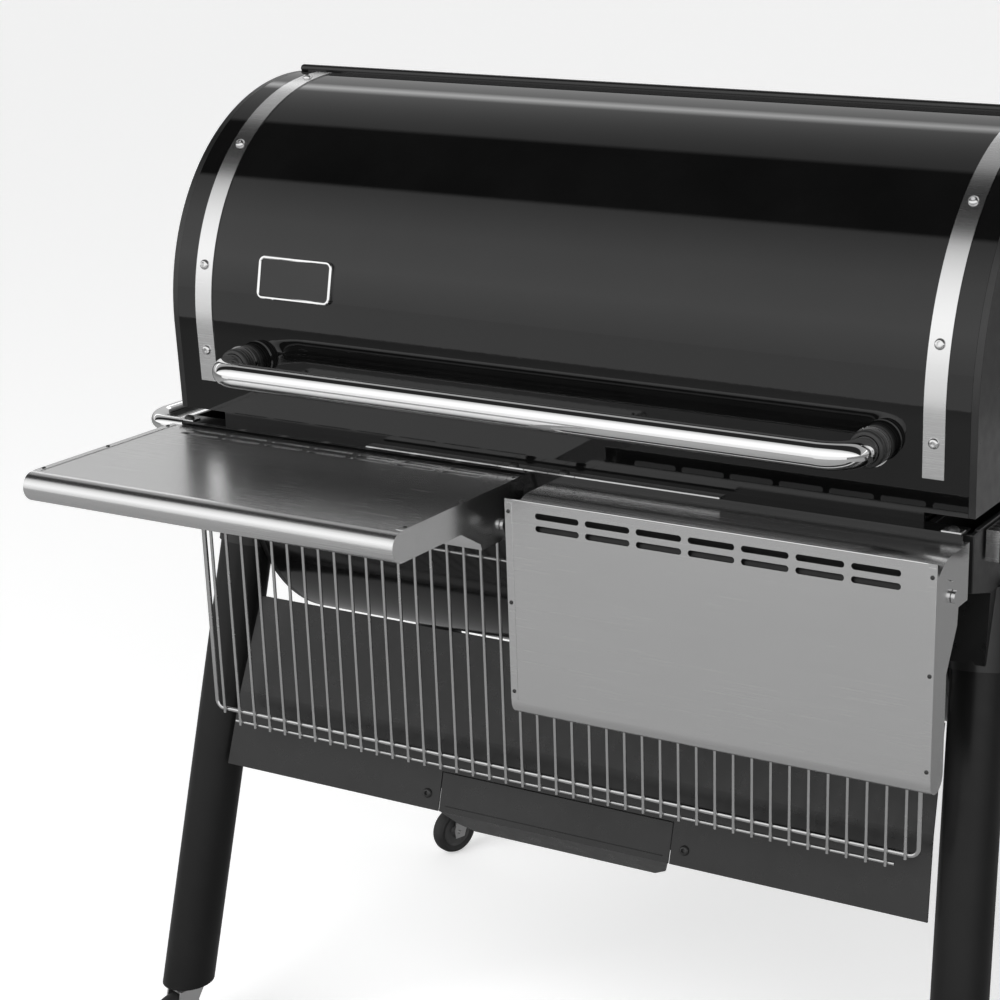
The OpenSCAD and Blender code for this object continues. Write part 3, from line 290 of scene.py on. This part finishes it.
def make_world():
    world = bpy.data.worlds.new("studio")
    world.use_nodes = True
    bpy.context.scene.world = world
    tree = Nodes(world.node_tree)
    background = next(n for n in world.node_tree.nodes if n.type == "BACKGROUND")
    direction = tree.add("ShaderNodeTexCoord").outputs["Generated"]
    parts = tree.add("ShaderNodeSeparateXYZ")
    tree.link(direction, parts.inputs[0])
    forward = tree.math("MULTIPLY", parts.outputs["Y"], -1.0)
    angle = tree.math("ARCTAN2", parts.outputs["Z"], forward)
    share = tree.math("DIVIDE", angle, math.pi)
    tree.link(tree.ramp(share, SKY_STOPS), background.inputs["Color"])
    background.inputs["Strength"].default_value = SKY_STRENGTH
    plain = tree.add("ShaderNodeBackground", Color=grey(BACKDROP), Strength=1.0)
    seen = tree.add("ShaderNodeLightPath")
    mix = tree.add("ShaderNodeMixShader")
    out = next(n for n in world.node_tree.nodes if n.type == "OUTPUT_WORLD")
    tree.link(seen.outputs["Is Camera Ray"], mix.inputs[0])
    tree.link(background.outputs[0], mix.inputs[1])
    tree.link(plain.outputs[0], mix.inputs[2])
    tree.link(mix.outputs[0], out.inputs["Surface"])


def make_floor():
    """A pale floor; reflections see it dim, so that the enamel keeps its deep black lower half."""
    bpy.ops.mesh.primitive_plane_add(size=FLOOR_SIZE)
    floor = bpy.context.object
    floor.name = "floor"
    material, tree, shader = new_material("floor")
    shader.inputs["Base Color"].default_value = grey(0.8)
    shader.inputs["Roughness"].default_value = 0.9
    shader.inputs["Emission Color"].default_value = grey(1.0)
    shader.inputs["Emission Strength"].default_value = 0.45
    dim = tree.add("ShaderNodeBsdfDiffuse", Color=grey(0.42))
    seen = tree.add("ShaderNodeLightPath")
    mix = tree.add("ShaderNodeMixShader")
    out = next(n for n in material.node_tree.nodes if n.type == "OUTPUT_MATERIAL")
    tree.link(seen.outputs["Is Camera Ray"], mix.inputs[0])
    tree.link(dim.outputs[0], mix.inputs[1])
    tree.link(shader.outputs[0], mix.inputs[2])
    tree.link(mix.outputs[0], out.inputs["Surface"])
    floor.data.materials.append(material)


def area_light(name, place, target, size, power):
    """A soft rectangle of light that lights the object but doesn't show in reflections."""
    data = bpy.data.lights.new(name, "AREA")
    data.shape = "RECTANGLE"
    data.size, data.size_y = size
    data.energy = power
    light = bpy.data.objects.new(name, data)
    bpy.context.scene.collection.objects.link(light)
    light.location = place
    light.rotation_euler = (Vector(target) - Vector(place)).to_track_quat("-Z", "Y").to_euler()
    light.visible_glossy = False


def make_front_card():
    """A low pale panel in front of the object, which only reflections see."""
    bpy.ops.mesh.primitive_plane_add(size=1)
    card = bpy.context.object
    card.name = "front_card"
    card.scale = CARD_SIZE
    card.rotation_euler = (math.radians(90), 0, 0)
    card.location = CARD_PLACE
    material, tree, shader = new_material("front_card")
    shader.inputs["Base Color"].default_value = grey(0.0)
    shader.inputs["Emission Color"].default_value = grey(1.0)
    shader.inputs["Emission Strength"].default_value = CARD_GLOW
    card.data.materials.append(material)
    card.visible_camera = False
    card.visible_diffuse = False


# ---------------------------------------------------------------- pieces

SLOT_OF = {entry["node"]: entry["material_slot"] for entry in frame["record"]["subparts"]}
AROUND = 48


def add_piece(name, bm, like, replaced=(), slot=None, bevel=0.0, smooth_angle=35.0):
    """Makes a mesh object that rides with the CAD node like, in its finish unless slot names another."""
    bmesh.ops.recalc_face_normals(bm, faces=bm.faces)
    mesh = bpy.data.meshes.new(name)
    bm.to_mesh(mesh)
    bm.free()
    piece = bpy.data.objects.new(name, mesh)
    bpy.context.scene.collection.objects.link(piece)
    slot = slot or SLOT_OF[like]
    mesh.materials.append(MATERIALS[slot])
    mesh.shade_smooth()
    mesh.set_sharp_from_angle(angle=math.radians(smooth_angle))
    if bevel:
        rounding = piece.modifiers.new("rounding", "BEVEL")
        rounding.width = bevel
        rounding.segments = 2
        rounding.limit_method = "ANGLE"
        rounding.angle_limit = math.radians(35)
    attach(piece, body_of(frame["nodes"][like])[0])
    if replaced:
        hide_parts(*replaced)


def look_along(place, axis):
    """A matrix whose Z runs along axis from place."""
    turn = Vector(axis).to_track_quat("Z", "Y").to_matrix().to_4x4()
    return Matrix.Translation(place) @ turn


def lathe(bm, profile, matrix, around=AROUND, radius_at=None):
    """Turns (radius, height) points round matrix's Z axis, closed at the ends that reach radius 0."""
    rings = []
    for radius, height in profile:
        if radius == 0:
            rings.append([bm.verts.new(matrix @ Vector((0, 0, height)))])
            continue
        ring = []
        for i in range(around):
            angle = 2 * math.pi * i / around
            size = radius * (radius_at(angle) if radius_at else 1)
            point = Vector((size * math.cos(angle), size * math.sin(angle), height))
            ring.append(bm.verts.new(matrix @ point))
        rings.append(ring)
    for low, high in zip(rings, rings[1:]):
        for i in range(around):
            j = (i + 1) % around
            corners = [low[i % len(low)], low[j % len(low)], high[j % len(high)], high[i % len(high)]]
            distinct = list(dict.fromkeys(corners))
            if len(distinct) > 2:
                bm.faces.new(distinct)


def hexagon(angle):
    """The outline of a hexagon with apothem 1, as a radius at each angle."""
    return 1 / math.cos((angle + math.pi / 6) % (math.pi / 3) - math.pi / 6)


def screw_head(bm, place, axis, radius):
    """A domed head with a hexagon socket."""
    matrix = look_along(place, axis)
    height = radius * 0.57
    around = 36
    socket = radius * 0.42
    steps = [(radius * 0.999, 0.0), (radius, height * 0.12), (radius * 0.93, height * 0.45),
             (radius * 0.78, height * 0.78), (radius * 0.62, height * 0.97)]
    rings = []
    for size, rise in steps:
        rings.append([bm.verts.new(matrix @ Vector((size * math.cos(a), size * math.sin(a), rise)))
                      for a in (2 * math.pi * i / around for i in range(around))])
    for rise in (height, height * 0.25):
        rings.append([bm.verts.new(matrix @ Vector((socket * hexagon(a) * math.cos(a),
                                                    socket * hexagon(a) * math.sin(a), rise)))
                      for a in (2 * math.pi * i / around for i in range(around))])
    for low, high in zip(rings, rings[1:]):
        for i in range(around):
            j = (i + 1) % around
            bm.faces.new((low[i], low[j], high[j], high[i]))
    bm.faces.new(rings[-1])
    bm.faces.new(list(reversed(rings[0])))


def islands(node):
    """The separate solids of a CAD node, each as a list of points."""
    bm = bmesh.new()
    bm.from_mesh(frame["nodes"][node].data)
    bmesh.ops.remove_doubles(bm, verts=bm.verts, dist=1e-6)
    found = []
    seen = set()
    for start in bm.verts:
        if start in seen:
            continue
        seen.add(start)
        group = []
        waiting = [start]
        while waiting:
            vert = waiting.pop()
            group.append(vert.co.copy())
            for edge in vert.link_edges:
                other = edge.other_vert(vert)
                if other not in seen:
                    seen.add(other)
                    waiting.append(other)
        found.append(group)
    bm.free()
    return found


def make_screws(name, node, axis_of):
    """Puts a socket head where each solid of the node is, facing the way axis_of says."""
    bm = bmesh.new()
    for points in islands(node):
        middle = sum(points, Vector()) / len(points)
        axis = Vector(axis_of(middle)).normalized()
        base = min(point.dot(axis) for point in points)
        radius = max(((point - middle) - axis * (point - middle).dot(axis)).length for point in points)
        screw_head(bm, middle + axis * (base - middle.dot(axis)), axis, radius)
    add_piece(name, bm, node, [node], smooth_angle=40)


def band_screw_axis(place):
    """Band screws face out from the barrel, and straight forward on the flat below its middle."""
    if place.z < BARREL.z:
        return 0, -1, 0
    return 0, place.y - BARREL.y, place.z - BARREL.z


def body_bolt_axis(place):
    """Ledge bolts face up; skirt bolts face out of the tilted skirt."""
    ledge_height = 0.8
    skirt_tilt = math.radians(16.4)
    if place.z > ledge_height:
        return 0, 0, 1
    return 0, -math.cos(skirt_tilt), math.sin(skirt_tilt)


def rounded_outline(width, height, radius, steps=8):
    """The points of a rectangle with round corners, centred on the origin."""
    points = []
    for corner, (sx, sy) in enumerate(((1, 1), (-1, 1), (-1, -1), (1, -1))):
        for i in range(steps + 1):
            angle = math.pi / 2 * (corner + i / steps)
            points.append((sx * (width / 2 - radius) + radius * math.cos(angle),
                           sy * (height / 2 - radius) + radius * math.sin(angle)))
    return points


def make_badge():
    """A blank badge: a bright raised rim round a plain black field."""
    low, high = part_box("lid_badge")
    middle = (low + high) / 2
    axis = Vector((0, middle.y - BARREL.y, middle.z - BARREL.z)).normalized()
    up = Vector((0, axis.z, -axis.y))
    turn = Matrix((Vector((1, 0, 0)), up, axis)).transposed().to_4x4()
    foot = BARREL + axis * LID_R
    place = Matrix.Translation((middle.x, foot.y, foot.z)) @ turn
    width, height, corner = high.x - low.x, 0.050, 0.008
    rim = bmesh.new()
    levels = [(0.0, 0.0), (0.0, 0.0032), (0.0008, 0.0040),
              (0.0026, 0.0040), (0.0034, 0.0032), (0.0034, 0.0012)]
    rings = []
    for inset, rise in levels:
        outline = rounded_outline(width - 2 * inset, height - 2 * inset, corner - inset)
        rings.append([rim.verts.new(place @ Vector((x, y, rise))) for x, y in outline])
    count = len(rings[0])
    for a, b in zip(rings, rings[1:] + rings[:1]):
        for i in range(count):
            j = (i + 1) % count
            rim.faces.new((a[i], a[j], b[j], b[i]))
    add_piece("badge_rim", rim, "lid_badge", ["lid_badge"], slot="polished_chrome")
    field = bmesh.new()
    outline = rounded_outline(width - 0.006, height - 0.006, corner - 0.003)
    top = [field.verts.new(place @ Vector((x, y, 0.0022))) for x, y in outline]
    bottom = [field.verts.new(place @ Vector((x, y, 0.0002))) for x, y in outline]
    field.faces.new(top)
    field.faces.new(list(reversed(bottom)))
    for i in range(len(top)):
        j = (i + 1) % len(top)
        field.faces.new((top[i], bottom[i], bottom[j], top[j]))
    add_piece("badge_field", field, "lid_badge", slot="rail_black")


def make_handle_boss(side):
    """A ribbed collar that holds one end of the lid handle."""
    node = "handle_boss_" + side
    low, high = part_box(node)
    middle = (low + high) / 2
    length = high.y - low.y
    radius = (high.x - low.x) / 2
    ribs = 6
    profile = [(radius * 0.6, 0.0), (radius, 0.0)]
    for i in range(ribs):
        start = length * (0.08 + 0.78 * i / ribs)
        pitch = length * 0.78 / ribs
        profile += [(radius, start), (radius, start + pitch * 0.55), (radius * 0.95, start + pitch * 0.68),
                    (radius * 0.95, start + pitch * 0.9)]
    profile += [(radius, length * 0.88), (radius * 0.97, length * 0.97), (radius * 0.9, length),
                (radius * 0.78, length), (radius * 0.77, length * 0.8)]
    bm = bmesh.new()
    lathe(bm, profile, look_along((middle.x, high.y, middle.z), (0, -1, 0)))
    add_piece(node + "_ribbed", bm, node, [node], smooth_angle=50)


def shelf_place(side):
    """Maps a shelf's own frame (X along it, -Y to its roll, Z out of its top) to where it is at rest."""
    low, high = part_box("shelf_" + side)
    if side == "left":
        return Matrix.Translation((low.x, high.y, high.z))
    return Matrix(((1, 0, 0, low.x), (0, 0, -1, low.y), (0, 1, 0, high.z), (0, 0, 0, 1)))


def make_shelf_trim(side):
    """End strips with rivets on a shelf's top."""
    low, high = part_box("shelf_" + side)
    width = high.x - low.x
    place = shelf_place(side)
    strip_w = 0.009
    strip_t = 0.0005
    sunk = 0.0002
    start = -0.004
    end = -0.232
    strips = bmesh.new()
    rivets = bmesh.new()
    for x in (0.0, width - strip_w):
        corners = [(x, end), (x + strip_w, end), (x + strip_w, start), (x, start)]
        bottom = [strips.verts.new(place @ Vector((a, b, -sunk))) for a, b in corners]
        top = [strips.verts.new(place @ Vector((a, b, strip_t))) for a, b in corners]
        strips.faces.new(list(reversed(bottom)))
        strips.faces.new(top)
        for i in range(4):
            j = (i + 1) % 4
            strips.faces.new((bottom[i], bottom[j], top[j], top[i]))
        for y in (start - 0.010, (start + end) / 2, end + 0.010):
            dome = [(0.0024, strip_t), (0.0022, strip_t + 0.0006),
                    (0.0014, strip_t + 0.0011), (0, strip_t + 0.0013)]
            lathe(rivets, dome, place @ Matrix.Translation((x + strip_w / 2, y, 0)), around=16)
    node = "shelf_" + side
    add_piece(node + "_end_strips", strips, node, bevel=0.0002)
    add_piece(node + "_rivets", rivets, node, slot="dark_bolts")


def make_shelf_bend(side):
    """The rounded bend along a shelf's hinge edge, a hair proud of the sheet."""
    node = "shelf_" + side
    low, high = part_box(node)
    radius = 0.0010
    inset = 0.0007
    end_gap = 0.010
    chamfer = 0.0004
    place = shelf_place(side) @ look_along((end_gap, -inset, -inset), (1, 0, 0))
    length = high.x - low.x - 2 * end_gap
    bm = bmesh.new()
    lathe(bm, [(0, 0), (radius * 0.8, 0), (radius, chamfer), (radius, length - chamfer),
               (radius * 0.8, length), (0, length)], place, around=24)
    add_piece(node + "_bend", bm, node, slot="polished_chrome")


def make_slot_shade_sheet(side):
    """A thin black sheet on the bracket's nose: painted shade, which shows dark behind a folded shelf's
    slots.
    """
    bracket = "shelf_bracket_" + side
    low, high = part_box(bracket)
    nose_r = 0.0420
    shade_sheet_t = 0.0003
    clearance = 0.00005
    end_gap = 0.004
    pin = Vector((0, low.y + nose_r, high.z - nose_r))
    first = 2.0
    last = 62.0
    steps = 24
    bm = bmesh.new()
    rows = []
    for radius in (nose_r + clearance, nose_r + shade_sheet_t):
        for x in (low.x + end_gap, high.x - end_gap):
            row = []
            for i in range(steps + 1):
                angle = math.radians(first + (last - first) * i / steps)
                y = pin.y - radius * math.cos(angle)
                z = pin.z + radius * math.sin(angle)
                row.append(bm.verts.new((x, y, z)))
            rows.append(row)
    inner_a, inner_b, outer_a, outer_b = rows
    for i in range(steps):
        for a, b in ((inner_b, inner_a), (outer_a, outer_b), (inner_a, outer_a), (outer_b, inner_b)):
            bm.faces.new((a[i], a[i + 1], b[i + 1], b[i]))
    for i in (0, steps):
        bm.faces.new((inner_a[i], inner_b[i], outer_b[i], outer_a[i]))
    # black finish here is painted shade for the recess behind the slots
    add_piece(bracket + "_shade_sheet", bm, bracket, slot="leg_black")


# Sheet and cast nodes whose sharp edges are rounded, with the radius of each.
ROUNDED = {
    "side_table": 0.0015, "hopper_lid": 0.0015, "lid_end_left": 0.0016, "lid_end_right": 0.0016,
    "cookbox_end_left": 0.0016, "cookbox_end_right": 0.0016, "auger_motor": 0.0015,
}


def round_edges(node, width):
    """Replaces a CAD node by the same shape with rounded edges."""
    bm = bmesh.new()
    bm.from_mesh(frame["nodes"][node].data)
    bmesh.ops.remove_doubles(bm, verts=bm.verts, dist=1e-6)
    bmesh.ops.dissolve_limit(bm, angle_limit=math.radians(0.5), verts=bm.verts, edges=bm.edges)
    add_piece(node + "_rounded", bm, node, [node], bevel=width)


# The way the axles point, and half the width of a wheel.
CASTER_TURN = math.radians(162)
WHEEL_HALF = 0.012


def make_wheel(corner):
    """A rubber tyre on a zinc-grey hub with a raised boss."""
    node = "caster_wheel_" + corner
    low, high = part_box(node)
    middle = (low + high) / 2
    radius = (high.z - low.z) / 2
    half = WHEEL_HALF
    axle = Vector((math.cos(CASTER_TURN), math.sin(CASTER_TURN), 0))
    place = look_along(middle, axle)
    hub_r = radius * 0.68
    tyre = bmesh.new()
    lathe(tyre, [(hub_r, -half * 0.7), (radius * 0.86, -half * 0.92), (radius * 0.95, -half * 0.72),
                 (radius, -half * 0.35), (radius, half * 0.35), (radius * 0.95, half * 0.72),
                 (radius * 0.86, half * 0.92), (hub_r, half * 0.7), (hub_r, -half * 0.7)], place)
    add_piece(node + "_tyre", tyre, node, [node])
    hub = bmesh.new()
    lathe(hub, [(0, -half), (radius * 0.2, -half), (radius * 0.24, -half * 0.8),
                (radius * 0.3, -half * 0.45), (radius * 0.6, -half * 0.45), (hub_r, -half * 0.68),
                (hub_r, half * 0.68), (radius * 0.6, half * 0.45), (radius * 0.3, half * 0.45),
                (radius * 0.24, half * 0.8), (radius * 0.2, half), (0, half)], place)
    add_piece(node + "_hub", hub, node, slot="motor_grey")


def make_knob():
    """A fluted control knob."""
    low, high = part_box("control_knob")
    middle = (low + high) / 2
    radius = (high.x - low.x) / 2
    depth = high.y - low.y
    flutes = 24
    bm = bmesh.new()
    place = look_along((middle.x, high.y, middle.z), (0, -1, 0))
    lathe(bm, [(0, 0), (radius * 0.3, 0), (radius * 0.3, depth * 0.42), (radius * 0.97, depth * 0.45),
               (radius * 0.97, depth * 0.9), (radius * 0.86, depth * 0.98), (0, depth)],
          place, around=flutes * 6, radius_at=lambda a: 1 - 0.03 * (0.5 + 0.5 * math.cos(flutes * a)))
    add_piece("control_knob_fluted", bm, "control_knob", ["control_knob"])


make_camera()
make_world()
make_floor()
make_front_card()
area_light("key", place=(-1.5, -3.0, 3.6), target=(0, 0, 0.8), size=(3.0, 2.0), power=90)
area_light("fill", place=(3.0, -2.5, 1.6), target=(0, 0, 0.6), size=(2.0, 2.0), power=30)
paint_cad_nodes()
make_badge()
make_knob()
make_screws("band_screw_heads", "band_screws", band_screw_axis)
make_screws("body_bolt_heads", "body_bolts", body_bolt_axis)
for side in ("left", "right"):
    make_handle_boss(side)
    make_shelf_trim(side)
    make_shelf_bend(side)
    make_slot_shade_sheet(side)
for corner in ("front_left", "front_right", "rear_left", "rear_right"):
    make_wheel(corner)
for node, width in ROUNDED.items():
    round_edges(node, width)
bpy.context.scene.view_settings.view_transform = "Standard"
